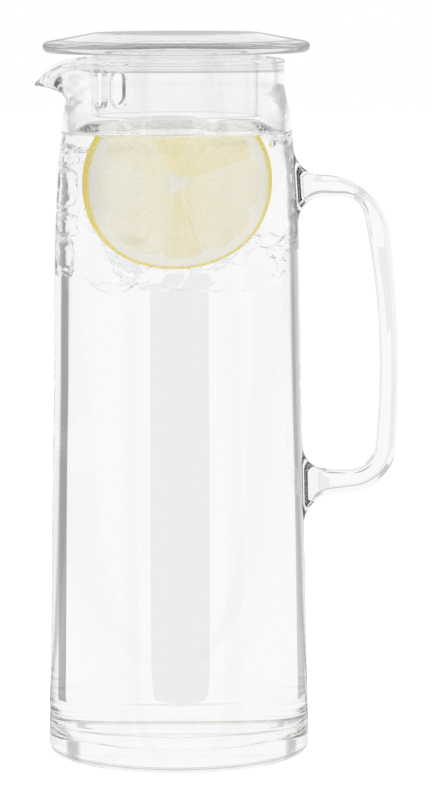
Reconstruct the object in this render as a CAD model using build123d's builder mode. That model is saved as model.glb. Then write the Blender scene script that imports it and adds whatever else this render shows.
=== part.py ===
from build123d import *
import math
import os

os.makedirs("parts", exist_ok=True)

# A glass jug with a pouring lip, a fused glass handle and a clear lid with a straining tube.
# Millimetres, +Z up. The origin is the middle of the base. The lip points along -X, the handle along +X.

# Glass vessel: outside radii, the drops of the upper ones below the rim, and the glass thickness
jug_height = 267.0
base_radius = 50.1
base_corner = 3.5
foot_radius = 49.4
foot_height = 42.0
belly_radius = 47.7
belly_height = 132.0
shoulder_radius = 44.6
shoulder_drop = 34.0
throat_radius = 43.3
throat_drop = 21.0
neck_radius = 41.1
neck_drop = 8.0
wall = 2.6
floor_thickness = 8.0
floor_corner = 6.0
rim_bead_radius = 1.6

# Pouring lip: reach from the axis, drops below the rim, and how its top edge bows
lip_reach = 54.0
lip_tip_radius = 3.2
lip_thickness = 2.2
lip_root_drop = 14.2
lip_under_drop = 9.0
lip_tip_drop = 8.4
lip_start = 34.0
lip_bow = 1.8
lip_rim_step = 0.3

# Handle: a strap with its outline in the XZ plane. The reaches are its corners' distances from the axis.
handle_drop = 45.0
handle_span = 119.9
handle_width = 13.0
handle_edge_round = 2.0
upper_reach = 77.6
lower_reach = 82.4
grip_thickness = 7.0
grip_bow = 4.5
inner_bow = 5.0
arm_thickness = 7.8
foot_thickness = 6.2
foot_fall = 4.8
upper_bend = 25.0
lower_bend = 17.5
upper_inner_bend = 9.5
lower_inner_bend = 10.5
root_flare = 11.0
side_flare = 4.5
root_sink = 0.3
root_embed = 6.0

# Lid cover
lid_radius = 50.9
lid_flat_radius = 31.5
lid_height = 7.5
lid_edge_round = 2.15
lid_gap = 2.3
cover_thickness = 2.2
ledge_width = 2.2
weld_clearance = 0.1

# Straining tube and its plate
tube_radius = 32.5
tube_wall = 1.8
tube_depth = 24.3
plate_thickness = 2.0
slot_width = 8.0
slot_pitch = 22.5
slot_lengths = (18.4, 17.2, 14.6)
slot_margin = 1.8

# Soft ring in the neck
seal_clearance = 0.3
sleeve_thickness = 1.4
sleeve_clearance = 0.2
fin_thickness = 1.0
fin_lip_depth = 3.2
fin_stand = 0.3

# Places that follow from the sizes above
shoulder_z = jug_height - shoulder_drop
throat_z = jug_height - throat_drop
neck_z = jug_height - neck_drop
bead_z = jug_height - rim_bead_radius
bead_circle = neck_radius - wall / 2
rim_inner_radius = bead_circle - rim_bead_radius
lip_root_z = jug_height - lip_root_drop
lip_under_z = jug_height - lip_under_drop
lip_tip_z = jug_height - lip_tip_drop
lid_bottom = jug_height + lid_gap
lid_top = lid_bottom + lid_height
above_rim = jug_height + lid_gap
merge_step = 0.3


def vessel_outline(inset, bottom, corner, top):
    """Half section of the vessel, drawn in from the outside by inset, as a closed outline."""
    side = base_radius - inset
    neck = neck_radius - inset
    with BuildLine() as outline:
        Line((0, bottom), (side - corner, bottom))
        JernArc((side - corner, bottom), (1, 0), corner, 90)
        Spline(
            (side, bottom + corner),
            (foot_radius - inset, foot_height),
            (belly_radius - inset, belly_height),
            (shoulder_radius - inset, shoulder_z),
            (throat_radius - inset, throat_z),
            (neck, neck_z),
            tangents=((0, 1), (0, 1)),
        )
        Polyline((neck, neck_z), (neck, top), (0, top), (0, bottom))
    return outline.line


def draw_beak(circle, reach):
    """In the sketch being drawn, a circle round the axis that is drawn out to the lip's rounded tip."""
    tip = lip_tip_radius - lip_thickness / 2 if reach < lip_reach else lip_tip_radius
    Circle(circle)
    with Locations((tip - reach, 0)):
        Circle(tip)
    make_hull(mode=Mode.REPLACE)


# The vessel's outside alone, which the handle's pads fit
with BuildPart() as vessel_outside:
    with BuildSketch(Plane.XZ):
        with BuildLine():
            add(vessel_outline(0, 0, base_corner, bead_z))
        make_face()
    revolve(axis=Axis.Z)

# The lip's underside rises along a line from its root in the neck's wall to its tip, outside and inside
lip_slope = math.atan2(lip_under_z - lip_root_z, lip_reach - bead_circle)
root_reach = bead_circle + merge_step
inner_circle = rim_inner_radius - merge_step
inner_reach = lip_reach - lip_thickness
inner_root_reach = inner_circle + merge_step
inner_under_z = lip_under_z + lip_thickness / math.cos(lip_slope) - lip_thickness * math.tan(lip_slope)
inner_root_z = inner_under_z - (inner_reach - inner_root_reach) * math.tan(lip_slope)

with BuildPart() as glass_jug:
    add(vessel_outside.part)
    # Lip, outside
    with BuildSketch(Plane.XY.offset(lip_root_z)):
        draw_beak(bead_circle, root_reach)
    with BuildSketch(Plane.XY.offset(lip_under_z)):
        draw_beak(bead_circle, lip_reach)
    loft()
    with BuildSketch(Plane.XY.offset(lip_under_z)):
        draw_beak(bead_circle, lip_reach)
        Circle(bead_circle, mode=Mode.SUBTRACT)
    extrude(amount=jug_height - lip_rim_step - lip_under_z)
    # Rounded rim
    with BuildSketch(Plane.XZ):
        with Locations((bead_circle, bead_z)):
            Circle(rim_bead_radius)
    revolve(axis=Axis.Z)
    # Hollow
    with BuildSketch(Plane.XZ):
        with BuildLine():
            add(vessel_outline(wall, floor_thickness, floor_corner, bead_z))
        make_face()
    revolve(axis=Axis.Z, mode=Mode.SUBTRACT)
    # Lip, inside
    with BuildSketch(Plane.XY.offset(inner_root_z)):
        draw_beak(inner_circle, inner_root_reach)
    with BuildSketch(Plane.XY.offset(inner_under_z)):
        draw_beak(inner_circle, inner_reach)
    loft(mode=Mode.SUBTRACT)
    with BuildSketch(Plane.XY.offset(inner_under_z)):
        draw_beak(inner_circle, inner_reach)
    extrude(amount=above_rim - inner_under_z, mode=Mode.SUBTRACT)
    # The lip's top edge droops in a shallow arc from the rim to the tip
    past_tip = lip_reach + merge_step
    with BuildSketch(Plane.XZ):
        with BuildLine():
            SagittaArc((-lip_start, jug_height), (-past_tip, lip_tip_z), -lip_bow)
            Polyline(
                (-past_tip, lip_tip_z),
                (-past_tip, above_rim),
                (-lip_start, above_rim),
                (-lip_start, jug_height),
            )
        make_face()
    extrude(amount=base_radius, both=True, mode=Mode.SUBTRACT)
glass_jug.part.label = "glass_jug"
export_step(glass_jug.part, "parts/glass_jug.step")

# Handle: a bent strap with rounded edges and a flared pad at each root, cut to fit the vessel's side. The
# lower arm's underside falls towards the vessel.
arm_top = jug_height - handle_drop
arm_bottom = arm_top - arm_thickness
foot_bottom = arm_top - handle_span
foot_top = foot_bottom + foot_thickness
upper_inner_reach = upper_reach - grip_thickness
lower_inner_reach = lower_reach - grip_thickness
strap_start = shoulder_radius - root_embed
vessel_side = vessel_outline(0, 0, base_corner, bead_z).edges().filter_by(GeomType.BSPLINE)[0]


def side_radius(height):
    """Outside radius of the vessel at a height, read from its outline."""
    level = Edge.make_line((0, height), (lower_reach, height))
    return vessel_side.find_intersection_points(level)[0].X


def root_pad(low, high):
    """Pad round one arm's root: a block that the arm leaves by a hollow round above, below and at each side."""
    middle = (low + high) / 2
    half_height = (high - low) / 2 + root_flare
    half_width = handle_width / 2 + side_flare
    upper_round = side_radius(middle + half_height) - root_sink + root_flare
    lower_round = side_radius(middle - half_height) - root_sink + root_flare
    side_round = math.sqrt(side_radius(middle) ** 2 - half_width**2) - root_sink + root_flare
    with BuildPart() as pad:
        with BuildSketch(Plane.XZ):
            with Locations((strap_start, middle)):
                Rectangle(side_round - strap_start, 2 * half_height, align=(Align.MIN, Align.CENTER))
            with Locations((upper_round, middle + half_height), (lower_round, middle - half_height)):
                Circle(root_flare, mode=Mode.SUBTRACT)
        revolve(axis=Axis.Z)
        with BuildSketch(Plane.XY.offset(middle)):
            Rectangle(side_round, 2 * half_width, align=(Align.MIN, Align.CENTER))
            with Locations((side_round, half_width), (side_round, -half_width)):
                Ellipse(root_flare, side_flare, mode=Mode.SUBTRACT)
        extrude(amount=half_height, both=True, mode=Mode.INTERSECT)
    return pad.part


foot_root = side_radius(foot_bottom)
foot_low = foot_bottom - foot_fall * (lower_reach - foot_root) / (lower_reach - strap_start)

with BuildPart() as glass_handle:
    with BuildSketch(Plane.XZ) as strap:
        with BuildLine():
            Line((strap_start, arm_top), (upper_reach, arm_top))
            SagittaArc((upper_reach, arm_top), (lower_reach, foot_bottom), grip_bow)
            Polyline(
                (lower_reach, foot_bottom),
                (strap_start, foot_bottom - foot_fall),
                (strap_start, foot_top),
                (lower_inner_reach, foot_top),
            )
            SagittaArc((lower_inner_reach, foot_top), (upper_inner_reach, arm_bottom), -inner_bow)
            Polyline((upper_inner_reach, arm_bottom), (strap_start, arm_bottom), (strap_start, arm_top))
        make_face()
        for corner, bend in (
            ((upper_reach, arm_top), upper_bend),
            ((lower_reach, foot_bottom), lower_bend),
            ((upper_inner_reach, arm_bottom), upper_inner_bend),
            ((lower_inner_reach, foot_top), lower_inner_bend),
        ):
            fillet(strap.vertices().sort_by_distance((*corner, 0))[0], bend)
    extrude(amount=handle_width / 2, both=True)
    side_edges = glass_handle.faces().filter_by(Axis.Y).edges()
    fillet(side_edges.filter_by(Axis.Z, reverse=True), handle_edge_round)
    add(root_pad(arm_bottom, arm_top))
    add(root_pad(foot_low, foot_top))
    add(vessel_outside.part, mode=Mode.SUBTRACT)
glass_handle.part.label = "glass_handle"
export_step(glass_handle.part, "parts/glass_handle.step")

# Lid cover: flat in the middle, sloping to a rounded edge, hollow below, with a ledge for the plate
edge_z = lid_bottom + lid_edge_round
edge_circle = lid_radius - lid_edge_round
run = edge_circle - lid_flat_radius
drop = lid_top - edge_z
slope_angle = math.atan2(drop, run) - math.asin(lid_edge_round / math.hypot(run, drop))
edge_top = (
    edge_circle + lid_edge_round * math.sin(slope_angle),
    edge_z + lid_edge_round * math.cos(slope_angle),
)
cover_under = lid_top - cover_thickness
plate_top = lid_bottom + plate_thickness
plate_radius = edge_circle - ledge_width
ledge_inner = plate_radius - ledge_width
slope_under = cover_thickness / math.cos(slope_angle)
ledge_roof = lid_top - (ledge_inner - lid_flat_radius) * math.tan(slope_angle) - slope_under

with BuildPart() as lid_cover:
    with BuildSketch(Plane.XZ):
        with BuildLine():
            Polyline((0, cover_under), (0, lid_top), (lid_flat_radius, lid_top), edge_top)
            ThreePointArc(edge_top, (lid_radius, edge_z), (edge_circle, lid_bottom))
            Polyline(
                (edge_circle, lid_bottom),
                (plate_radius, lid_bottom),
                (plate_radius, plate_top),
                (ledge_inner, plate_top),
                (ledge_inner, ledge_roof),
                (lid_flat_radius, cover_under),
                (0, cover_under),
            )
        make_face()
    revolve(axis=Axis.Z)
lid_cover.part.label = "lid_cover"
export_step(lid_cover.part, "parts/lid_cover.step")

# Straining tube: an open tube through a plate that is welded into the cover, with five upright slots
tube_bottom = lid_bottom - tube_depth
tube_inner = tube_radius - tube_wall
tube_top = cover_under - weld_clearance - (tube_radius - lid_flat_radius) * math.tan(slope_angle)
slot_middle = tube_bottom + slot_margin + slot_lengths[0] / 2

with BuildPart() as strainer_insert:
    with BuildSketch(Plane.XZ):
        with BuildLine():
            Polyline(
                (tube_inner, tube_bottom),
                (tube_radius, tube_bottom),
                (tube_radius, lid_bottom),
                (plate_radius - weld_clearance, lid_bottom),
                (plate_radius - weld_clearance, plate_top),
                (tube_radius, plate_top),
                (tube_radius, tube_top),
                (tube_inner, tube_top),
                (tube_inner, tube_bottom),
            )
        make_face()
    revolve(axis=Axis.Z)
    for place in (-2, -1, 0, 1, 2):
        angle = math.radians(180 + place * slot_pitch)
        outwards = (math.cos(angle), math.sin(angle), 0)
        with BuildSketch(Plane(origin=(0, 0, slot_middle), x_dir=(0, 0, 1), z_dir=outwards)):
            SlotOverall(slot_lengths[abs(place)], slot_width)
        extrude(amount=plate_radius, mode=Mode.SUBTRACT)
strainer_insert.part.label = "strainer_insert"
export_step(strainer_insert.part, "parts/strainer_insert.step")

# Soft ring: a sleeve round the tube's root with a fin that turns down inside the rim
sleeve_inner = tube_radius + sleeve_clearance
sleeve_outer = sleeve_inner + sleeve_thickness
fin_radius = rim_inner_radius - seal_clearance
fin_top = jug_height + fin_stand
sleeve_top = lid_bottom - sleeve_clearance

with BuildPart() as lid_seal:
    with BuildSketch(Plane.XZ):
        with BuildLine():
            Polyline(
                (sleeve_inner, fin_top - fin_thickness),
                (fin_radius - fin_thickness, fin_top - fin_thickness),
                (fin_radius - fin_thickness, fin_top - fin_lip_depth),
                (fin_radius, fin_top - fin_lip_depth),
                (fin_radius, fin_top),
                (sleeve_outer, fin_top),
                (sleeve_outer, sleeve_top),
                (sleeve_inner, sleeve_top),
                (sleeve_inner, fin_top - fin_thickness),
            )
        make_face()
    revolve(axis=Axis.Z)
lid_seal.part.label = "lid_seal"
export_step(lid_seal.part, "parts/lid_seal.step")
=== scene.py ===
import math

import bmesh
import bpy
import numpy as np
from mathutils import Matrix, Vector, noise


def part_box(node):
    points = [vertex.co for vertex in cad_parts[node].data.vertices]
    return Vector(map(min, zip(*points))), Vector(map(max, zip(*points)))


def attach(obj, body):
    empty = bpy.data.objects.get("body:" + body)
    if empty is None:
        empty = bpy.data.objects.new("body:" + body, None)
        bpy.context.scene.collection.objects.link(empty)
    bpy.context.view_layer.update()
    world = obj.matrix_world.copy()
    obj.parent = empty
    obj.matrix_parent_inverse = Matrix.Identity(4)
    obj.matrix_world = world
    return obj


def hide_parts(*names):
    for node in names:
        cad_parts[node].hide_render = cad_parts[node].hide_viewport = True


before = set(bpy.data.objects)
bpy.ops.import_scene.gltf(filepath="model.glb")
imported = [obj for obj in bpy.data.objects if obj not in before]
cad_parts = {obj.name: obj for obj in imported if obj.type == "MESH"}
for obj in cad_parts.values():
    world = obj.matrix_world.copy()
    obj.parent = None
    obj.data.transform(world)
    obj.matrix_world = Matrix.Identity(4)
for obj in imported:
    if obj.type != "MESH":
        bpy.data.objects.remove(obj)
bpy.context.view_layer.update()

# Camera: stands 1.56 m in front of the jug, a little to the lip's side, and looks slightly down on it.
# Its lens and tilt put the rim, the base and the handle where the photograph has them.
camera_distance = 1.56
camera_height = 0.312
camera_side = math.radians(3.0)
camera_turn = math.radians(0.541)
camera_pitch = math.radians(6.435)
camera_roll = math.radians(-0.172)
camera_data = bpy.data.cameras.new("camera")
camera_data.sensor_fit = "VERTICAL"
camera_data.sensor_height = 36
camera_data.lens = 183.87
camera_data.clip_start = 0.01
camera_data.clip_end = 100
camera = bpy.data.objects.new("camera", camera_data)
heading = camera_side + camera_turn
forward = Vector((
    math.sin(heading) * math.cos(camera_pitch),
    math.cos(heading) * math.cos(camera_pitch),
    -math.sin(camera_pitch),
))
rightward = Vector((math.cos(heading), -math.sin(heading), 0))
upward = rightward.cross(forward)
aim = Matrix((rightward, upward, -forward)).transposed().to_4x4()
stand = Vector((-math.sin(camera_side), -math.cos(camera_side), 0)) * camera_distance
stand.z = camera_height
camera.matrix_world = Matrix.Translation(stand) @ aim @ Matrix.Rotation(camera_roll, 4, "Z")
bpy.context.scene.collection.objects.link(camera)
bpy.context.scene.camera = camera

# Glass jug and handle: one clear borosilicate vessel, blown, with a lip pulled at its rim, and a bent glass
# strap fused to its side with two flared pads. The side tapers up to a short neck.
millimetre = 0.001
jug_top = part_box("glass_jug")[1].z
base_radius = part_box("glass_jug")[1].y
base_corner = 3.5 * millimetre
side_stations = (
    (49.4 * millimetre, 42 * millimetre),
    (47.7 * millimetre, 132 * millimetre),
    (44.6 * millimetre, jug_top - 34 * millimetre),
    (43.3 * millimetre, jug_top - 21 * millimetre),
)
neck_radius = 41.1 * millimetre
neck_z = jug_top - 8 * millimetre
wall = 2.6 * millimetre
floor_thickness = 8 * millimetre
floor_corner = 6 * millimetre
bead = 1.6 * millimetre
water_contact = 239.3 * millimetre
glass_ior = 1.47
water_ior = 1.333
edge_margin = 0.2 * millimetre


def spun(arm, angle):
    """A flat vector turned by an angle."""
    c, s = math.cos(angle), math.sin(angle)
    return np.array((c * arm[0] - s * arm[1], s * arm[0] + c * arm[1]))


def sweep_between(start, end):
    """Signed angle from one flat vector to another."""
    return math.atan2(start[0] * end[1] - start[1] * end[0], start @ end)


def rounded(corners, closed=False, turn_steps=8, straight=2.5 * millimetre):
    """A half section as points (r, z) from corners (r, z, round), each with an arc of that radius."""
    points = []
    count = len(corners)
    for i, (r, z, radius) in enumerate(corners):
        here = np.array((r, z))
        if not closed and i in (0, count - 1) or not radius:
            points.append(here)
            continue
        to_last = np.array(corners[i - 1][:2]) - here
        to_next = np.array(corners[(i + 1) % count][:2]) - here
        to_last, to_next = (v / np.linalg.norm(v) for v in (to_last, to_next))
        half = math.acos(float(np.clip(to_last @ to_next, -1, 1))) / 2
        reach = radius / math.tan(half)
        middle = (to_last + to_next) / np.linalg.norm(to_last + to_next)
        centre = here + middle * radius / math.sin(half)
        start, end = here + to_last * reach - centre, here + to_next * reach - centre
        sweep = sweep_between(start, end)
        points += [centre + spun(start, sweep * step / turn_steps) for step in range(turn_steps + 1)]
    filled = []
    for i, here in enumerate(points):
        filled.append(here)
        if i + 1 < len(points) or closed:
            there = points[(i + 1) % len(points)]
            length = float(np.linalg.norm(there - here))
            pieces = max(1, math.ceil(length / straight))
            stops = [k / pieces for k in range(1, pieces)]
            if length > millimetre:
                edge = edge_margin / length
                stops += [edge, 1 - edge]
            filled += [here + (there - here) * t for t in sorted(stops)]
    return np.array(filled)


def link(name, verts, faces, material, smooth_angle=32):
    """A mesh object with smooth shading that breaks only at edges sharper than the angle."""
    mesh = bpy.data.meshes.new(name)
    mesh.from_pydata([tuple(v) for v in verts], [], [tuple(f) for f in faces])
    shell = bmesh.new()
    shell.from_mesh(mesh)
    if shell.calc_volume(signed=True) < 0:
        bmesh.ops.reverse_faces(shell, faces=shell.faces)
    shell.to_mesh(mesh)
    shell.free()
    mesh.materials.append(material)
    mesh.shade_smooth()
    mesh.set_sharp_from_angle(angle=math.radians(smooth_angle))
    piece = bpy.data.objects.new(name, mesh)
    bpy.context.scene.collection.objects.link(piece)
    return piece


def turned(name, outline, material, closed=False, turns=288, shape=None, angle=32):
    """A piece turned round the Z axis from its half section. shape moves its points, as for a lip."""
    angles = np.linspace(0, 2 * math.pi, turns, endpoint=False)
    rings = list(range(len(outline)))
    verts, index = [], {}
    for i in rings:
        r, z = outline[i]
        if r < 1e-6:
            index[i] = [len(verts)] * turns
            verts.append((0.0, 0.0, z))
            continue
        index[i] = list(range(len(verts), len(verts) + turns))
        for a in angles:
            radius, height = shape(r, z, a, i) if shape else (r, z)
            verts.append((radius * math.cos(a), radius * math.sin(a), height))
    faces = []
    for i in rings if closed else rings[:-1]:
        low, high = index[i], index[(i + 1) % len(rings)]
        for k in range(turns):
            m = (k + 1) % turns
            corners = dict.fromkeys((low[k], low[m], high[m], high[k]))
            if len(corners) > 2:
                faces.append(tuple(corners))
    return link(name, verts, faces, material, angle)


def clear_material(name, ior, tint=(1, 1, 1), waviness=0.0, wave_size=60.0):
    """A clear solid that bends light by its IOR. A faint waviness in its surface is all its grain."""
    material = bpy.data.materials.new(name)
    material.use_nodes = True
    tree = material.node_tree
    shader = tree.nodes["Principled BSDF"]
    shader.inputs["Base Color"].default_value = (*tint, 1)
    shader.inputs["Roughness"].default_value = 0.0
    shader.inputs["IOR"].default_value = ior
    shader.inputs["Transmission Weight"].default_value = 1.0
    if waviness:
        place = tree.nodes.new("ShaderNodeTexCoord")
        waves = tree.nodes.new("ShaderNodeTexNoise")
        waves.inputs["Scale"].default_value = wave_size
        waves.inputs["Detail"].default_value = 1.5
        bump = tree.nodes.new("ShaderNodeBump")
        bump.inputs["Strength"].default_value = 1.0
        bump.inputs["Distance"].default_value = waviness
        tree.links.new(place.outputs["Object"], waves.inputs["Vector"])
        tree.links.new(waves.outputs["Fac"], bump.inputs["Height"])
        tree.links.new(bump.outputs["Normal"], shader.inputs["Normal"])
    return material


def side_radius(z):
    """Outside radius of the vessel's side at a height, smooth through its stations."""
    stations = [(base_radius, base_corner), *side_stations, (neck_radius, neck_z)]
    rs, zs = np.array(stations).T
    slopes = np.gradient(rs, zs)
    slopes[0] = slopes[-1] = 0
    z = min(max(z, zs[0]), zs[-1])
    i = min(int(np.searchsorted(zs, z, side="right")) - 1, len(zs) - 2)
    span = zs[i + 1] - zs[i]
    t = (z - zs[i]) / span
    return (
        (2 * t**3 - 3 * t**2 + 1) * rs[i]
        + (t**3 - 2 * t**2 + t) * span * slopes[i]
        + (3 * t**2 - 2 * t**3) * rs[i + 1]
        + (t**3 - t**2) * span * slopes[i + 1]
    )


def side_line(inset, low, high, steps):
    """Points (r, z) up the vessel's side, drawn in by inset."""
    return [(side_radius(z) - inset, z) for z in np.linspace(low, high, steps)]


bead_z = jug_top - bead
bead_circle = neck_radius - wall / 2
ring_foot = 46 * millimetre
push_up = 1.0 * millimetre
hollow_radius = ring_foot - 12 * millimetre
heel_top = 5 * millimetre
side_start = 6.5 * millimetre
rim_root = jug_top - 3.2 * millimetre
inner_rim_root = jug_top - 3.4 * millimetre
inner_heel_top = floor_thickness + 9 * millimetre
inner_side_start = inner_heel_top + 0.5 * millimetre
side_steps = 90
inner_side_steps = 80
outside = rounded([
    (0, push_up, 0),
    (hollow_radius, push_up * 0.6, 0),
    (ring_foot, 0, 0),
    (base_radius, 0, base_corner),
    (base_radius, heel_top, 0),
])
rim_turn = [math.radians(a) for a in range(-30, 211, 12)]
rim = [(bead_circle + bead * math.cos(a), bead_z + bead * math.sin(a)) for a in rim_turn]
floor_edge = side_radius(inner_heel_top) - wall
inside = rounded([
    (floor_edge, inner_heel_top, 0),
    (floor_edge, floor_thickness, floor_corner),
    (0, floor_thickness, 0),
])
jug_outline = np.array(
    list(outside)
    + side_line(0, side_start, rim_root, side_steps)
    + rim
    + side_line(wall, water_contact, inner_rim_root, 14)[::-1]
    + side_line(wall, inner_side_start, water_contact, inner_side_steps)[-2::-1]
    + list(inside)[1:]
)

# The lip's reach and droop fade with the angle from it and with the depth below the rim
lip_root = jug_top - 15.5 * millimetre
lip_swell = 0.35 * millimetre
lip_reach = -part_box("glass_jug")[0].x - neck_radius - lip_swell
lip_droop = 8.4 * millimetre
lip_half_angle = math.radians(42)
lip_tip_softness = 0.06
lip_narrowing = 1.15
lip_full_pull = 0.93
lip_flare = 1.35
lip_bend = 1.8


def pull_lip(r, z, angle, ring):
    """Draws the rim out into the lip round the -X direction."""
    off = abs(math.remainder(angle - math.pi, 2 * math.pi))
    if z < lip_root or off > lip_half_angle:
        return r, z
    hull = neck_radius / math.cos(lip_half_angle - off) - neck_radius
    straight_side = neck_radius / math.cos(lip_half_angle) - neck_radius
    pull = min(1.0, hull / straight_side)
    pull = 1.0 - math.hypot(1.0 - pull, lip_tip_softness)
    pull = max(0.0, pull) ** lip_narrowing / lip_full_pull
    depth = min(1.0, (z - lip_root) / (bead_z - lip_root))
    ease = depth**lip_flare
    return r + lip_reach * pull * ease, z - lip_droop * pull**lip_bend * ease


glass = clear_material("clear_glass", glass_ior, tint=(0.994, 0.997, 0.997), waviness=0.00002, wave_size=45)
wet_glass = clear_material("glass_against_water", glass_ior / water_ior)
glass_body = turned("glass_jug_and_handle", jug_outline, glass, turns=360, shape=pull_lip)
glass_body.data.materials.append(wet_glass)
for face in glass_body.data.polygons:
    middle = face.center
    inner = math.hypot(middle.x, middle.y) < side_radius(middle.z) - wall / 2
    if inner and floor_thickness / 2 < middle.z < water_contact:
        face.material_index = 1

# Handle: an outer and an inner line, each a straight arm, a bowed grip and a straight foot with round bends
arm_top = jug_top - 45 * millimetre
arm_low = arm_top - 7.8 * millimetre
foot_low = arm_top - 119.9 * millimetre
foot_top = foot_low + 6.2 * millimetre
foot_fall = 4.8 * millimetre
upper_reach = 77.6 * millimetre
lower_reach = 82.4 * millimetre
grip = 7.0 * millimetre
half_width = 6.5 * millimetre
edge_round = 2.3 * millimetre
strap_start = 38.6 * millimetre
outer_bow = 4.5 * millimetre
inner_bow = 5.0 * millimetre
outer_bends = (25 * millimetre, 17.5 * millimetre)
inner_bends = (9.5 * millimetre, 10.5 * millimetre)


def grip_line(arm_start, upper, lower, foot_end, bow, bends, arc_steps=44, grip_steps=120, arm_steps=24):
    """Points along an arm, a grip that bows out between its corners, and a foot, with round bends."""
    arm_start, upper, lower, foot_end = (np.array(p) for p in (arm_start, upper, lower, foot_end))
    chord = lower - upper
    length = np.linalg.norm(chord)
    big = (length**2 / 4 + bow**2) / (2 * bow)
    outward = np.array((-chord[1], chord[0])) / length
    centre = (upper + lower) / 2 - outward * (big - bow)
    bend_points = []
    for start, corner, into, bend in (
        (arm_start, upper, (0, -1), bends[0]),
        (foot_end, lower, (0, 1), bends[1]),
    ):
        along = (corner - start) / np.linalg.norm(corner - start)
        square = np.array((-along[1], along[0]))
        square = square if square @ np.array(into) > 0 else -square
        base = corner + square * bend - centre
        b = base @ along
        t = -b + math.sqrt(b * b - base @ base + (big - bend) ** 2)
        middle = base + along * t
        on_line = middle - square * bend
        on_grip = middle / np.linalg.norm(middle) * big
        turns = np.linspace(0, sweep_between(on_line - middle, on_grip - middle), arc_steps + 1)
        bend_points.append([centre + middle + spun(on_line - middle, a) for a in turns])
    upper_bend, lower_bend = bend_points
    first, last = upper_bend[-1] - centre, lower_bend[-1] - centre
    turns = np.linspace(0, sweep_between(first, last), grip_steps + 1)
    bowed = [centre + spun(first, a) for a in turns[1:-1]]
    stops = np.linspace(0, 1, arm_steps + 1)
    arm = [arm_start + (upper_bend[0] - arm_start) * t for t in stops[:-1]]
    foot = [lower_bend[0] + (foot_end - lower_bend[0]) * t for t in stops[1:]]
    return np.array([*arm, *upper_bend, *bowed, *lower_bend[::-1], *foot])


outer_line = grip_line(
    (strap_start, arm_top),
    (upper_reach, arm_top),
    (lower_reach, foot_low),
    (strap_start, foot_low - foot_fall),
    outer_bow,
    outer_bends,
)
inner_line = grip_line(
    (strap_start, arm_low),
    (upper_reach - grip, arm_low),
    (lower_reach - grip, foot_top),
    (strap_start, foot_top),
    inner_bow,
    inner_bends,
)
face_stops = (0.06, 0.3, 0.5, 0.7, 0.94)
pad_steps = 40
flare_reach = 10.5 * millimetre
flare_up = 10.5 * millimetre
flare_side = 4.3 * millimetre
sink = 1.2 * millimetre


def strap_section(half_thick, half_wide, corner, quarter=14):
    """A rounded rectangle as points (across, sideways), with extra points along its flat faces."""
    points = []
    for first, qx, qy in ((0, 1, 1), (90, -1, 1), (180, -1, -1), (270, 1, -1)):
        for k in range(quarter + 1):
            a = math.radians(first + 90 * k / quarter)
            points.append((qx * (half_thick - corner) + corner * math.cos(a),
                           qy * (half_wide - corner) + corner * math.sin(a)))
    filled = []
    for here, there in zip(points, points[1:] + points[:1]):
        filled.append(here)
        if math.dist(here, there) > millimetre:
            filled += [tuple(np.array(here) + (np.array(there) - here) * t) for t in face_stops]
    return filled


strap_verts = []
ring_size = len(strap_section(arm_top - arm_low, half_width, edge_round))


def add_ring(outer, inner, distance=flare_reach):
    """One section of the strap from its outer to its inner line. A pad swells in a hollow quarter round
    towards the vessel, and hugs its side."""
    hug = 1 - min(max(distance, 0), flare_reach) / flare_reach
    swell = 1 - math.sqrt(1 - hug * hug)
    middle = (outer + inner) / 2
    across = (outer - inner) / np.linalg.norm(outer - inner)
    half_thick = np.linalg.norm(outer - inner) / 2 + flare_up * swell
    level = side_radius(middle[1])
    for u, v in strap_section(half_thick, half_width + flare_side * swell, edge_round + flare_side * swell):
        x, z = middle + across * u
        x += hug * (math.sqrt(side_radius(z) ** 2 - v * v) - level)
        strap_verts.append((x, v, z))


def pad_rings(outer_z, inner_z):
    """The sections of a pad, from its sunk root outwards. Both z values are functions of the reach."""
    root = side_radius((outer_z(upper_reach) + inner_z(upper_reach)) / 2)
    rings = []
    for distance in [-sink] + [flare_reach * (k / pad_steps) ** 1.5 for k in range(pad_steps + 1)]:
        reach = root + distance
        rings.append((np.array((reach, outer_z(reach))), np.array((reach, inner_z(reach))), distance))
    return rings


def foot_under(reach):
    """Height of the foot's underside, which falls towards the vessel."""
    return foot_low - foot_fall * (lower_reach - reach) / (lower_reach - strap_start)


upper_pad = pad_rings(lambda reach: arm_top, lambda reach: arm_low)
lower_pad = pad_rings(foot_under, lambda reach: foot_top)
for ring in upper_pad:
    add_ring(*ring)
for outer, inner in zip(outer_line, inner_line):
    pad_edge = (upper_pad if outer[1] > (arm_top + foot_low) / 2 else lower_pad)[-1][0][0]
    if min(outer[0], inner[0]) > pad_edge + millimetre:
        add_ring(outer, inner)
for ring in reversed(lower_pad):
    add_ring(*ring)
ring_count = len(strap_verts) // ring_size
strap_faces = [
    (i * ring_size + k, i * ring_size + (k + 1) % ring_size,
     (i + 1) * ring_size + (k + 1) % ring_size, (i + 1) * ring_size + k)
    for i in range(ring_count - 1)
    for k in range(ring_size)
]
strap_faces.append(tuple(range(ring_size))[::-1])
strap_faces.append(tuple(range((ring_count - 1) * ring_size, ring_count * ring_size)))
strap = link("strap", strap_verts, strap_faces, glass, 50)


def settled(piece, smooth_angle=32):
    """Applies the piece's modifiers to its mesh."""
    graph = bpy.context.evaluated_depsgraph_get()
    made = bpy.data.meshes.new_from_object(piece.evaluated_get(graph))
    piece.modifiers.clear()
    piece.data = made
    made.shade_smooth()
    made.set_sharp_from_angle(angle=math.radians(smooth_angle))
    return piece


def combined(piece, other, operation, smooth_angle=32):
    """Joins or cuts a piece by another, which is used up."""
    step = piece.modifiers.new(operation, "BOOLEAN")
    step.operation = operation
    step.solver = "MANIFOLD"
    step.object = other
    settled(piece, smooth_angle)
    bpy.data.objects.remove(other)
    return piece


combined(glass_body, strap, "UNION", 40)
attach(glass_body, "jug")
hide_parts("glass_jug", "glass_handle")

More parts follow.
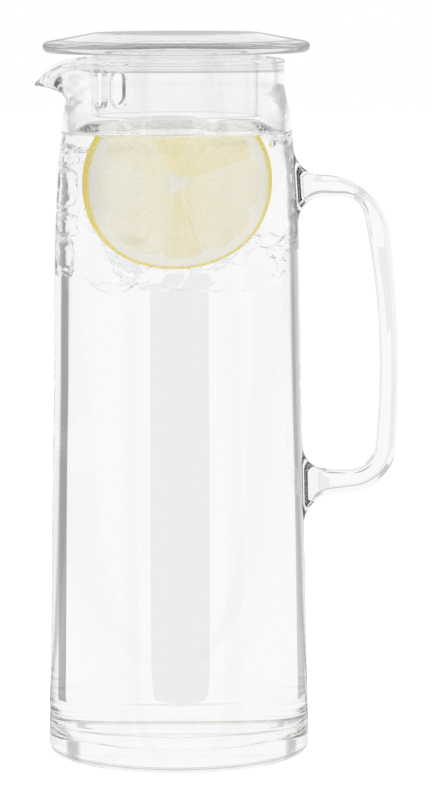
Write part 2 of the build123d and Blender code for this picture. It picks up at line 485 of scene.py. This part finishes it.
# Seal: a soft clear ring stretched round the root of the straining tube. Its fin turns down inside the rim
# and rubs on the glass, so that the lid sits firm and doesn't drip.
silicone = clear_material("clear_silicone", 1.41, tint=(0.97, 0.97, 0.975))
seal_low, seal_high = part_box("lid_seal")
fin_radius = seal_high.x
sleeve_inner = 32.7 * millimetre
sleeve_outer = sleeve_inner + 1.4 * millimetre
fin_top = jug_top + 0.3 * millimetre
fin_thickness = 1.0 * millimetre
soft = 0.3 * millimetre
seal_outline = rounded([
    (sleeve_inner, fin_top - fin_thickness, soft),
    (fin_radius - fin_thickness, fin_top - fin_thickness, soft),
    (fin_radius - fin_thickness, seal_low.z, soft),
    (fin_radius, seal_low.z, soft),
    (fin_radius, fin_top, 2 * soft),
    (sleeve_outer, fin_top, soft),
    (sleeve_outer, seal_high.z, soft),
    (sleeve_inner, seal_high.z, soft),
], closed=True, turn_steps=4)
seal = turned("seal_ring", seal_outline, silicone, closed=True)
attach(seal, "seal")
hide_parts("lid_seal")

# Strainer insert: one clear moulding, a plate with an open tube through it. Five upright slots in the tube
# face the lip and hold back ice and fruit. The plate is welded into the cover.
plastic = clear_material("clear_plastic", 1.52, tint=(0.99, 0.988, 0.992), waviness=0.00001, wave_size=80)
depth_tint = plastic.node_tree.nodes.new("ShaderNodeVolumeAbsorption")
depth_tint.inputs["Color"].default_value = (0.80, 0.785, 0.80, 1)
depth_tint.inputs["Density"].default_value = 22
plastic_output = plastic.node_tree.nodes["Material Output"]
plastic.node_tree.links.new(depth_tint.outputs[0], plastic_output.inputs["Volume"])
frosted = bpy.data.materials.new("frosted_weld_edge")
frosted.use_nodes = True
frosted_shader = frosted.node_tree.nodes["Principled BSDF"]
frosted_shader.inputs["Base Color"].default_value = (0.5, 0.48, 0.5, 1)
frosted_shader.inputs["Roughness"].default_value = 0.6
frosted_shader.inputs["Alpha"].default_value = 0.06
insert_low, insert_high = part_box("strainer_insert")
lid_low, lid_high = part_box("lid_cover")
plate_radius = insert_high.x
plate_top = lid_low.z + 2 * millimetre
tube_radius = 32.5 * millimetre
tube_inner = tube_radius - 1.8 * millimetre
moulded = 0.35 * millimetre
weld_gap = 0.04 * millimetre
frosted_depth = 0.1 * millimetre
insert_outline = rounded([
    (tube_inner, insert_low.z, moulded),
    (tube_radius, insert_low.z, moulded),
    (tube_radius, lid_low.z, moulded),
    (plate_radius, lid_low.z, moulded),
    (plate_radius, plate_top - weld_gap, moulded),
    (tube_radius, plate_top - weld_gap, moulded),
    (tube_radius, insert_high.z, moulded),
    (tube_inner, insert_high.z, moulded),
], closed=True, turn_steps=4)
insert = turned("strainer_insert_plate_and_tube", insert_outline, plastic, closed=True)
slot_half_width = 4 * millimetre
slot_lengths = (18.4 * millimetre, 17.2 * millimetre, 14.6 * millimetre)
slot_pitch = math.radians(22.5)
slot_middle = insert_low.z + 11 * millimetre
cutter_overshoot = 3 * millimetre


def slot_cutter(angle, length, round_steps=16):
    """An upright bar with round ends, pointing out through the tube's wall."""
    half = length / 2 - slot_half_width
    ends = []
    for k in range(2 * round_steps):
        a = math.pi * k / round_steps + math.pi / (2 * round_steps)
        rise = math.sin(a)
        ends.append((slot_half_width * math.cos(a), slot_half_width * rise + math.copysign(half, rise)))
    outward = Vector((math.cos(angle), math.sin(angle), 0))
    sideways = Vector((-math.sin(angle), math.cos(angle), 0))
    verts = [outward * reach + sideways * x + Vector((0, 0, slot_middle + y))
             for reach in (tube_inner - cutter_overshoot, tube_radius + cutter_overshoot) for x, y in ends]
    count = len(ends)
    faces = [tuple(range(count))[::-1], tuple(range(count, 2 * count))]
    faces += [(k, (k + 1) % count, count + (k + 1) % count, count + k) for k in range(count)]
    return link("slot_cutter", verts, faces, plastic)


for place in (-2, -1, 0, 1, 2):
    combined(insert, slot_cutter(math.pi + place * slot_pitch, slot_lengths[abs(place)]), "DIFFERENCE")
insert.data.materials.append(frosted)
for face in insert.data.polygons:
    if face.center.z > insert_high.z - frosted_depth:
        face.material_index = 1
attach(insert, "lid")
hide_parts("strainer_insert")

# Lid cover: a clear moulded cap, flat in the middle and sloping to a bullnose edge. It is hollow below, with
# a ledge that the insert's plate is welded on.
bullnose_round = 2.15 * millimetre
flat_radius = 31.5 * millimetre
cover_thickness = 2.2 * millimetre
edge_circle = lid_high.x - bullnose_round
edge_z = lid_low.z + bullnose_round
ledge_radius = plate_radius - 2.2 * millimetre
run, drop = edge_circle - flat_radius, lid_high.z - edge_z
slope = math.atan2(drop, run) - math.asin(bullnose_round / math.hypot(run, drop))
ledge_roof = lid_high.z - (ledge_radius - flat_radius) * math.tan(slope) - cover_thickness / math.cos(slope)
bullnose = [(edge_circle + bullnose_round * math.sin(a), edge_z + bullnose_round * math.cos(a), 0)
            for a in np.linspace(slope, math.pi, 15)]
socket_radius = plate_radius + 0.1 * millimetre
flat_round = 1.2 * millimetre
cover_outline = rounded([
    (0, lid_high.z, 0),
    (flat_radius, lid_high.z, flat_round),
    *bullnose,
    (socket_radius, lid_low.z, moulded),
    (socket_radius, plate_top, moulded),
    (ledge_radius, plate_top, moulded),
    (ledge_radius, ledge_roof, moulded),
    (flat_radius, lid_high.z - cover_thickness, flat_round),
    (0, lid_high.z - cover_thickness, 0),
], turn_steps=5)
cover = turned("lid_cover_cap", cover_outline, plastic)
cover.data.materials.append(frosted)
for face in cover.data.polygons:
    if abs(face.center.z - plate_top) < frosted_depth / 2 and abs(face.normal.z) > 0.9:
        face.material_index = 1
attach(cover, "lid")
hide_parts("lid_cover")

# Water: cold and clear, up to the shoulder. Its surface climbs the glass by a small meniscus, and wet tops
# of floating ice stand a few millimetres out of it. The glass's inner face bends the light at its sides.
# A faint grey tint on the surface and a grey-yellow tint on the ice tops are painted shade for the grey band
# along the water's surface.
water_level = 238.3 * millimetre
meniscus = 1.0 * millimetre
film = 0.02 * millimetre
ice_edge_height = 0.9 * millimetre

# Each top of ice: its middle, its half width and half depth, its turn and its height over the water
mounds = (
    (Vector((-24, -9, 0)) * millimetre, 9 * millimetre, 10 * millimetre, 0.3, 0.8 * millimetre),
    (Vector((-27, 13, 0)) * millimetre, 10 * millimetre, 12 * millimetre, 0.5, 4.2 * millimetre),
    (Vector((25, 10, 0)) * millimetre, 12 * millimetre, 17 * millimetre, -0.3, 4.6 * millimetre),
    (Vector((-3, 26, 0)) * millimetre, 20 * millimetre, 11 * millimetre, 0.05, 5.4 * millimetre),
)
# The surface's faint grey tint is painted shade, not a colour of the water.
water_top = clear_material("water", water_ior, tint=(0.98, 0.98, 0.975), waviness=0.00003, wave_size=90)
water_side = clear_material("water_against_glass", 1.0)
# The ice tops' grey-yellow tint is painted shade for the grey band along the water's surface.
ice_top_painted_shade = (0.68, 0.665, 0.61)
painted_shade_ice_tops = clear_material("ice_tops_painted_shade", water_ior, tint=ice_top_painted_shade, waviness=0.00008, wave_size=140)
floor_line = rounded([
    (0, floor_thickness + film, 0),
    (floor_edge - film, floor_thickness + film, floor_corner),
    (floor_edge - film, inner_heel_top, 0),
])
side = side_line(wall + film, inner_side_start, water_contact, inner_side_steps)[1:]
water_radius = side[-1][0]
surface = [(water_radius - d, water_level + (water_contact - water_level) * math.exp(-d / meniscus))
           for d in np.linspace(0, 1, 60)[1:-1] ** 1.6 * water_radius] + [(0, water_level)]
water_outline = np.array(list(floor_line) + side + surface)
surface_first = len(floor_line) + len(side)


def swell_surface(r, z, angle, ring):
    """Lifts the surface into the tops of the ice."""
    if ring < surface_first:
        return r, z
    x, y = r * math.cos(angle), r * math.sin(angle)
    for middle, wide, deep, turn, height in mounds:
        u = ((x - middle.x) * math.cos(turn) + (y - middle.y) * math.sin(turn)) / wide
        v = ((y - middle.y) * math.cos(turn) - (x - middle.x) * math.sin(turn)) / deep
        z += height * math.exp(-((u * u + v * v) ** 2.5))
    return r, z


water = turned("water", water_outline, water_top, turns=360, shape=swell_surface, angle=60)
water.data.materials.append(water_side)
water.data.materials.append(painted_shade_ice_tops)
for face in water.data.polygons:
    height = face.center.z
    reach = math.hypot(face.center.x, face.center.y)
    if reach > side_radius(height) - wall - 3 * film or height < 2 * floor_thickness:
        face.material_index = 1
    elif height > water_level + ice_edge_height and reach < water_radius - 2 * meniscus:
        face.material_index = 2
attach(water, "jug")

# Lemon: a round slice that stands on edge in the water behind the front of the glass, cut flat at the
# surface. It has a yellow rind, a white pith and core, and pale pulp in uneven segments of juice sacs.
slice_centre = Vector((-1.3, -18, 220.6)) * millimetre
slice_radius = 32.4 * millimetre
slice_thickness = 6.5 * millimetre
slice_yaw = math.radians(2.5)
slice_tip = math.radians(1)
slice_cut = water_level - 0.5 * millimetre
rind_thickness = 0.95 * millimetre
pulp_radius = 28.0 * millimetre
core_radius = 3.4 * millimetre
membranes = [math.radians(a) for a in (-101, -70, -22, 20, 76, 116, 160, 207)]
segment_tones = (0.6, 0.3, 0.15, 0.6, 1.0, 0.2, 0.0, 0.15)
share_names = ("rind", "pith", "core", "streak", "tone")
rng = np.random.default_rng(7)
streak_phase = rng.uniform(0, 2 * math.pi, (8, 24))
streak_rate = rng.uniform(18, 95, (8, 24))
streak_bend = rng.uniform(-1.6, 1.6, (8, 24))


def slice_field(rho, phi):
    """Rind, pith, core, streak and tone shares and the relief at points of the cut face."""
    turn = (phi - membranes[0]) % (2 * math.pi) + membranes[0]
    edges = np.array(membranes + [membranes[0] + 2 * math.pi])
    row = np.clip(np.searchsorted(edges, turn, side="right") - 1, 0, len(membranes) - 1)
    t = (turn - edges[row]) / (edges[row + 1] - edges[row])
    limit = pulp_radius - 2.4 * millimetre * np.abs(2 * t - 1) ** 5
    gap = np.minimum(turn - edges[row], edges[row + 1] - turn) * rho
    membrane = np.exp(-((gap / (0.3 * millimetre)) ** 2)) * (rho < limit)
    pith = 1 / (1 + np.exp(np.clip(-(rho - limit) / (0.22 * millimetre), -40, 40)))
    rind = 1 / (1 + np.exp(np.clip(-(rho - slice_radius + rind_thickness) / (0.16 * millimetre), -40, 40)))
    core_edge = core_radius * (1 + 0.25 * np.sin(3 * phi + 1))
    core = 1 / (1 + np.exp(np.clip((rho - core_edge) / (0.35 * millimetre), -40, 40)))
    along = rho / slice_radius
    streak = sum(np.sin(streak_rate[row, k] * turn + streak_bend[row, k] * along * 3 + streak_phase[row, k])
                 for k in range(streak_rate.shape[1])) / 5
    streak = streak * np.clip((rho - 4 * millimetre) / (12 * millimetre), 0, 1) * (1 - pith)
    relief = millimetre * (0.09 * streak + 0.1 * membrane + 0.25 * pith + 0.3 * core)
    tone = np.clip(np.array(segment_tones)[row] + 0.4 * np.exp(-((rho / (13 * millimetre)) ** 2)), 0, 1)
    return rind, np.maximum(pith, membrane * 0.35), core, streak, tone, relief


slice_turns = 540
rind_round = 0.8 * millimetre
pulp_edge = pulp_radius - 3 * millimetre
pith_rise = 0.25 * millimetre
core_rise = 0.35 * millimetre
face_rings = [
    *np.linspace(0, pulp_edge, 44)[1:],
    *np.linspace(pulp_edge, slice_radius - rind_round, 24)[1:],
]
round_rings = [
    (slice_radius - rind_round * (1 - math.cos(a)), math.sin(a))
    for a in np.radians(range(70, -71, -20))
]
phi = np.linspace(0, 2 * math.pi, slice_turns, endpoint=False)
wobble = 1 + 0.006 * np.sin(2 * phi + 0.6) + 0.004 * np.sin(5 * phi)
verts = [(0, 0, slice_thickness / 2 + core_rise)]
shares = [(0, 0, 1, 0, 0)]
for rho, lean in [(rho, 1) for rho in face_rings] + round_rings + [(rho, -1) for rho in face_rings[::-1]]:
    rind, pith, core, streak, tone, relief = slice_field(np.full(slice_turns, rho), phi)
    if abs(lean) < 1:
        rind, pith, relief = np.ones(slice_turns), np.ones(slice_turns), np.full(slice_turns, pith_rise)
    depth = lean * (slice_thickness / 2 + relief)
    verts += zip(rho * wobble * np.cos(phi), rho * wobble * np.sin(phi), depth)
    shares += zip(rind, pith, core, streak, tone)
verts.append((0, 0, -slice_thickness / 2 - core_rise))
shares.append((0, 0, 1, 0, 0))
steps_round = [(k, (k + 1) % slice_turns) for k in range(slice_turns)]
faces = [(0, 1 + k, 1 + m) for k, m in steps_round]
last = len(verts) - 1 - slice_turns
for a in range(1, last, slice_turns):
    faces += [(a + k, a + slice_turns + k, a + slice_turns + m, a + m) for k, m in steps_round]
faces += [(last + k, last + slice_turns, last + m) for k, m in steps_round]

pulp_colour = (0.97, 0.945, 0.83)
deep_pulp_colour = (0.96, 0.86, 0.44)
pith_colour = (0.995, 0.99, 0.96)
core_colour = (0.93, 0.92, 0.88)
rind_colour = (1.0, 0.85, 0.24)
pore_colour = tuple(c * 0.82 for c in rind_colour)
pulp_cover = 0.55
pith_cover = 0.7
core_cover = 0.85
lemon = bpy.data.materials.new("lemon")
lemon.use_nodes = True
tree = lemon.node_tree
wet_fruit = tree.nodes["Principled BSDF"]
wet_fruit.inputs["Roughness"].default_value = 0.35
wet_fruit.inputs["IOR"].default_value = 1.05
share = {}
for share_name in share_names:
    attribute = tree.nodes.new("ShaderNodeAttribute")
    attribute.attribute_name = share_name
    share[share_name] = attribute.outputs["Fac"]
place = tree.nodes.new("ShaderNodeTexCoord")
pores = tree.nodes.new("ShaderNodeTexNoise")
pores.inputs["Scale"].default_value = 900
pores.inputs["Detail"].default_value = 3
tree.links.new(place.outputs["Object"], pores.inputs["Vector"])


def mixed(factor, first, second):
    """The lemon's colour between two colours by a share."""
    mix = tree.nodes.new("ShaderNodeMix")
    mix.data_type = "RGBA"
    for socket, value in ((mix.inputs[0], factor), (mix.inputs[6], first), (mix.inputs[7], second)):
        if isinstance(value, bpy.types.NodeSocket):
            tree.links.new(value, socket)
        else:
            socket.default_value = (*value, 1)
    return mix.outputs[2]


def ranged(value, low, high, to_low, to_high):
    """A share of the lemon's surface, moved from one range to another."""
    node = tree.nodes.new("ShaderNodeMapRange")
    for key, number in zip(("From Min", "From Max", "To Min", "To Max"), (low, high, to_low, to_high)):
        node.inputs[key].default_value = number
    tree.links.new(value, node.inputs["Value"])
    return node.outputs[0]


def stronger(first, second):
    """The larger of two shares."""
    node = tree.nodes.new("ShaderNodeMath")
    node.operation = "MAXIMUM"
    tree.links.new(first, node.inputs[0])
    tree.links.new(second, node.inputs[1])
    return node.outputs[0]


flesh = mixed(share["tone"], pulp_colour, deep_pulp_colour)
flesh = mixed(ranged(share["streak"], -0.9, 1.3, 0.0, 0.4), flesh, pith_colour)
skin = mixed(ranged(pores.outputs["Fac"], 0.35, 0.65, 0.0, 1.0), rind_colour, pore_colour)
body = mixed(share["pith"], flesh, pith_colour)
body = mixed(share["core"], body, core_colour)
body = mixed(share["rind"], body, skin)
tree.links.new(body, wet_fruit.inputs["Base Color"])
firm = stronger(share["rind"], ranged(share["core"], 0, 1, 0, core_cover))
cover_share = stronger(ranged(share["pith"], 0, 1, pulp_cover, pith_cover), firm)
tree.links.new(cover_share, wet_fruit.inputs["Alpha"])

lemon_slice = link("lemon_slice_front", verts, faces, lemon, 40)
for share_name, values in zip(share_names, zip(*shares)):
    layer = lemon_slice.data.attributes.new(share_name, "FLOAT", "POINT")
    layer.data.foreach_set("value", np.array(values, dtype=np.float32))
upright = Matrix.Rotation(math.radians(90) + slice_tip, 4, "X")
lemon_slice.data.transform(Matrix.Translation(slice_centre) @ Matrix.Rotation(slice_yaw, 4, "Z") @ upright)
shell = bmesh.new()
shell.from_mesh(lemon_slice.data)
cut_loop = bmesh.ops.bisect_plane(
    shell,
    geom=[*shell.verts, *shell.edges, *shell.faces],
    plane_co=(0, 0, slice_cut),
    plane_no=(0, 0, 1),
    clear_outer=True,
)
cut_edges = [e for e in cut_loop["geom_cut"] if isinstance(e, bmesh.types.BMEdge)]
bmesh.ops.edgenet_fill(shell, edges=cut_edges)
shell.to_mesh(lemon_slice.data)
shell.free()
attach(lemon_slice, "jug")

# Ice: clear lumps, half melted, with dimpled faces, and four small ones at the left wall. They float round
# the lemon and bend the light only a little, because ice and water bend it nearly alike.
ice = clear_material("ice", 0.965, tint=(0.997, 0.999, 1.0), waviness=0.0006, wave_size=160)
ice_dents = ((1.7, 0.16), (4.5, 0.08), (10, 0.03))
ice_squareness = 5
ice_depth = 0.8 * millimetre
ice_top_relief = 0.4 * millimetre
ice_clearance = 0.6 * millimetre

# Each lump: its name, its middle and half size in millimetres, its turn and the number of its dents' pattern
ice_lumps = (
    ("ice_left", (-14, 8, 206), (13, 20, 26), 0.35, 3),
    ("ice_chip_top", (-37, 2, 230), (4.2, 7.5, 4), 0.4, 14),
    ("ice_chip_upper", (-36, 3, 217.3), (6, 9, 7.2), -0.2, 17),
    ("ice_chip_lower", (-37, 1, 204), (4.5, 8, 4.2), 0.3, 21),
    ("ice_chip_bottom", (-36, 4, 191.5), (5.5, 9, 7), -0.3, 26),
    ("ice_right", (25, 6, 216), (15, 23, 21), -0.3, 5),
    ("ice_back", (0, 26, 212), (19, 12, 26), 0.1, 8),
    ("ice_low", (6, 2, 190), (24, 15, 11), 0.5, 11),
)
for name, centre, half_size, turn, seed in ice_lumps:
    lump = bmesh.new()
    bmesh.ops.create_icosphere(lump, subdivisions=5, radius=1)
    noise_shift = Vector((seed * 3.1, seed * 1.7, seed * 0.9))
    for vert in lump.verts:
        d = vert.co.normalized()
        block = sum(abs(part) ** ice_squareness for part in d) ** (-1 / ice_squareness)
        dent = sum(noise.noise(d * rate + noise_shift) * depth for rate, depth in ice_dents)
        p = Vector(d * block * (1 + dent))
        p = Vector(a * b for a, b in zip(p, half_size)) * millimetre
        p = Matrix.Rotation(turn, 3, "Z") @ p + Vector(centre) * millimetre
        p.z = min(p.z, water_level - ice_depth - ice_top_relief * dent)
        reach = math.hypot(p.x, p.y)
        limit = side_radius(p.z) - wall - ice_clearance
        if reach > limit:
            p.x, p.y = p.x * limit / reach, p.y * limit / reach
        vert.co = p
    mesh = bpy.data.meshes.new(name)
    lump.to_mesh(mesh)
    lump.free()
    mesh.materials.append(ice)
    mesh.shade_smooth()
    piece = bpy.data.objects.new(name, mesh)
    bpy.context.scene.collection.objects.link(piece)
    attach(piece, "jug")

# Bubbles: small beads of air that cling to the lemon's rind and to the inside of the glass, and a larger one
# under the surface of the water.
bubble_air = clear_material("air_in_water", 1 / water_ior)
rind_bubbles = 46
glass_bubbles = 12
glass_bubble_gap = 0.6 * millimetre
large_bubble = (Vector((33, -22, 235.2)) * millimetre, 1.6 * millimetre)
bubble_places = []
for k in range(rind_bubbles):
    around = math.radians(rng.uniform(-150, -30))
    edge = slice_radius + rng.uniform(-0.6, 0.6) * millimetre
    front = -slice_thickness / 2 + rng.uniform(-0.6, 0.2) * millimetre
    spot = slice_centre + Vector((edge * math.cos(around), front, edge * math.sin(around)))
    bubble_places.append((spot, rng.uniform(0.15, 0.42) * millimetre))
for k in range(glass_bubbles):
    around = math.radians(rng.uniform(190, 350))
    height = rng.uniform(180, 232) * millimetre
    reach = side_radius(height) - wall - glass_bubble_gap
    bubble_places.append((Vector((reach * math.cos(around), reach * math.sin(around), height)),
                          rng.uniform(0.12, 0.3) * millimetre))
bubble_places.append(large_bubble)
shell = bmesh.new()
for spot, size in bubble_places:
    bmesh.ops.create_icosphere(shell, subdivisions=3, radius=size, matrix=Matrix.Translation(spot))
mesh = bpy.data.meshes.new("air_bubbles")
shell.to_mesh(mesh)
shell.free()
mesh.materials.append(bubble_air)
mesh.shade_smooth()
bubbles = bpy.data.objects.new("air_bubbles", mesh)
bpy.context.scene.collection.objects.link(bubbles)
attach(bubbles, "jug")

# Floor and light: a pale floor under a plain white room, one soft lamp overhead and one at each side. Grey
# strips on the floor, seen only in and through the glass, give it its soft grey edges, as studio flags do.
floor_gap = 0.0001
bpy.ops.mesh.primitive_plane_add(size=12, location=(0, 0, -floor_gap))
floor = bpy.context.object
floor.name = "floor"
floor_grey = 0.86
floor_lift = 0.38
plain_tone = 0.75
room_tone = 0.95
room_corner_tone = 0.55
corner_start = 0.485
corner_full = 0.4995
overhead_tone = 0.88
horizon_tone = 0.6


def toned(tree, vector):
    """Brightness of the room seen in or through the glass, darker at its four corners, and the height."""
    parts = tree.nodes.new("ShaderNodeSeparateXYZ")
    tree.links.new(vector, parts.inputs[0])
    steps = {}
    for step, operation, first, second in (
        ("xy", "MULTIPLY", parts.outputs["X"], parts.outputs["Y"]),
        ("xx", "MULTIPLY", parts.outputs["X"], parts.outputs["X"]),
        ("yy", "MULTIPLY", parts.outputs["Y"], parts.outputs["Y"]),
        ("either", "ABSOLUTE", "xy", None),
        ("whole", "ADD", "xx", "yy"),
        ("share", "DIVIDE", "either", "whole"),
    ):
        node = tree.nodes.new("ShaderNodeMath")
        node.operation = operation
        for socket, value in zip(node.inputs, (first, second)):
            if value is not None:
                tree.links.new(steps.get(value, value) if isinstance(value, str) else value, socket)
        steps[step] = node.outputs[0]
    tone = tree.nodes.new("ShaderNodeMapRange")
    tone.interpolation_type = "SMOOTHSTEP"
    tone.inputs["From Min"].default_value = corner_start
    tone.inputs["From Max"].default_value = corner_full
    tone.inputs["To Min"].default_value = room_tone
    tone.inputs["To Max"].default_value = room_corner_tone
    tree.links.new(steps["share"], tone.inputs["Value"])
    return tone.outputs[0], parts.outputs["Z"]


def through_glass(tree):
    """Light path sockets: seen by the camera, and seen in or through the glass."""
    ray = tree.nodes.new("ShaderNodeLightPath")
    either = tree.nodes.new("ShaderNodeMath")
    either.operation = "MAXIMUM"
    tree.links.new(ray.outputs["Is Glossy Ray"], either.inputs[0])
    tree.links.new(ray.outputs["Is Transmission Ray"], either.inputs[1])
    return ray.outputs["Is Camera Ray"], either.outputs[0]


pale = bpy.data.materials.new("pale_floor")
pale.use_nodes = True
tree = pale.node_tree
lit = tree.nodes["Principled BSDF"]
lit.inputs["Base Color"].default_value = (floor_grey, floor_grey, floor_grey, 1)
lit.inputs["Roughness"].default_value = 1.0
lit.inputs["Specular IOR Level"].default_value = 0.0
lit.inputs["Emission Color"].default_value = (1, 1, 1, 1)
seen, seen_through = through_glass(tree)
lift = tree.nodes.new("ShaderNodeMath")
lift.operation = "MULTIPLY"
lift.inputs[1].default_value = floor_lift
tree.links.new(seen, lift.inputs[0])
tree.links.new(lift.outputs[0], lit.inputs["Emission Strength"])
place = tree.nodes.new("ShaderNodeTexCoord")
floor_tone = toned(tree, place.outputs["Object"])[0]
glow = tree.nodes.new("ShaderNodeEmission")
tree.links.new(floor_tone, glow.inputs["Strength"])
lit_or_glow = tree.nodes.new("ShaderNodeMixShader")
tree.links.new(seen_through, lit_or_glow.inputs[0])
tree.links.new(lit.outputs[0], lit_or_glow.inputs[1])
tree.links.new(glow.outputs[0], lit_or_glow.inputs[2])
tree.links.new(lit_or_glow.outputs[0], tree.nodes["Material Output"].inputs["Surface"])
floor.data.materials.append(pale)

world = bpy.data.worlds.new("room")
bpy.context.scene.world = world
world.use_nodes = True
tree = world.node_tree
plain = tree.nodes["Background"]
plain.inputs["Color"].default_value = (1, 1, 1, 1)
plain.inputs["Strength"].default_value = plain_tone
room = tree.nodes.new("ShaderNodeBackground")
room.inputs["Color"].default_value = (1, 1, 1, 1)
white = tree.nodes.new("ShaderNodeBackground")
white.inputs["Color"].default_value = (1, 1, 1, 1)
direction = tree.nodes.new("ShaderNodeTexCoord")
tone, level = toned(tree, direction.outputs["Generated"])
above = tree.nodes.new("ShaderNodeValToRGB")
above.color_ramp.interpolation = "EASE"
above.color_ramp.elements[0].color = (1, 1, 1, 1)
above.color_ramp.elements[1].color = (overhead_tone, overhead_tone, overhead_tone, 1)
for height, tone_there in ((0.015, horizon_tone), (0.09, horizon_tone), (0.14, 1.0), (0.4, 1.0)):
    mark = above.color_ramp.elements.new(height)
    mark.color = (tone_there, tone_there, tone_there, 1)
tree.links.new(level, above.inputs["Fac"])
both = tree.nodes.new("ShaderNodeMath")
both.operation = "MULTIPLY"
tree.links.new(tone, both.inputs[0])
tree.links.new(above.outputs[0], both.inputs[1])
tree.links.new(both.outputs[0], room.inputs["Strength"])
seen, seen_through = through_glass(tree)
plain_or_room = tree.nodes.new("ShaderNodeMixShader")
tree.links.new(seen_through, plain_or_room.inputs[0])
tree.links.new(plain.outputs[0], plain_or_room.inputs[1])
tree.links.new(room.outputs[0], plain_or_room.inputs[2])
or_white = tree.nodes.new("ShaderNodeMixShader")
tree.links.new(seen, or_white.inputs[0])
tree.links.new(plain_or_room.outputs[0], or_white.inputs[1])
tree.links.new(white.outputs[0], or_white.inputs[2])
tree.links.new(or_white.outputs[0], tree.nodes["World Output"].inputs["Surface"])


def exit_line(share, heading):
    """Where a ray that meets the jug at a share of its radius leaves it, in plan, as a point and a way."""
    offset = share * base_radius
    inner = base_radius - wall
    turn = math.asin(share) - math.asin(share / glass_ior)
    turn += math.asin(offset / (glass_ior * inner)) - math.asin(offset / (water_ior * inner))
    turn = 2 * turn - heading - math.asin(offset / camera_distance)
    point = offset * Vector((math.cos(turn), math.sin(turn), 0))
    return point, Vector((-math.sin(turn), math.cos(turn), 0))


def stripe(name, low, high, heading, grey, near=0.095, far=2.6):
    """A grey strip on the floor behind the jug, seen through the filled jug from one share of its radius to
    another. It shows only in and through the glass."""
    (point_a, way_a), (point_b, way_b) = [exit_line(share, heading) for share in (low, high)]
    above_floor = Vector((0, 0, floor_gap))
    corners = [point + way * reach + above_floor
               for point, way in ((point_a, way_a), (point_b, way_b)) for reach in (near, far)]
    gap = point_b - point_a
    cross = (gap.x * way_b.y - gap.y * way_b.x) / (way_a.x * way_b.y - way_a.y * way_b.x)
    strip_faces = [(0, 2, 3, 1)]
    if near < cross < far:
        corners.append(point_a + way_a * cross + above_floor)
        strip_faces = [(0, 2, 4), (4, 3, 1)]
    material = bpy.data.materials.new(name)
    material.use_nodes = True
    nodes = material.node_tree.nodes
    glow = nodes.new("ShaderNodeEmission")
    glow.inputs["Color"].default_value = (grey, grey, grey, 1)
    material.node_tree.links.new(glow.outputs[0], nodes["Material Output"].inputs["Surface"])
    strip = link(name, corners, strip_faces, material)
    strip.visible_camera = strip.visible_diffuse = strip.visible_shadow = False


edge_near = 0.068
for view_name, heading in (("back", camera_side), ("front", camera_side + math.pi)):
    stripe("middle_card_" + view_name, -0.226, 0.258, heading, 0.84)
    stripe("left_edge_card_" + view_name, -0.945, -0.89, heading, 0.33, near=edge_near)
    stripe("right_edge_card_" + view_name, 0.935, 0.985, heading, 0.48, near=edge_near)
for name, place, size, power in (
    ("lamp_overhead", (0.1, -0.3, 1.5), 1.2, 9),
    ("lamp_left", (-1.5, -0.8, 0.9), 0.8, 6),
    ("lamp_right", (1.5, -0.6, 0.9), 0.8, 5),
):
    lamp_data = bpy.data.lights.new(name, "AREA")
    lamp_data.size = size
    lamp_data.energy = power
    lamp = bpy.data.objects.new(name, lamp_data)
    lamp.location = place
    lamp.visible_glossy = lamp.visible_transmission = False
    lamp.rotation_euler = (Vector((0, 0, 0.13)) - lamp.location).to_track_quat("-Z", "Y").to_euler()
    bpy.context.scene.collection.objects.link(lamp)

scene = bpy.context.scene
scene.view_settings.view_transform = "Standard"
scene.cycles.blur_glossy = 0
glass_bounces = 72
scene.cycles.max_bounces = glass_bounces
scene.cycles.transmission_bounces = glass_bounces
scene.cycles.glossy_bounces = glass_bounces
scene.cycles.diffuse_bounces = 10
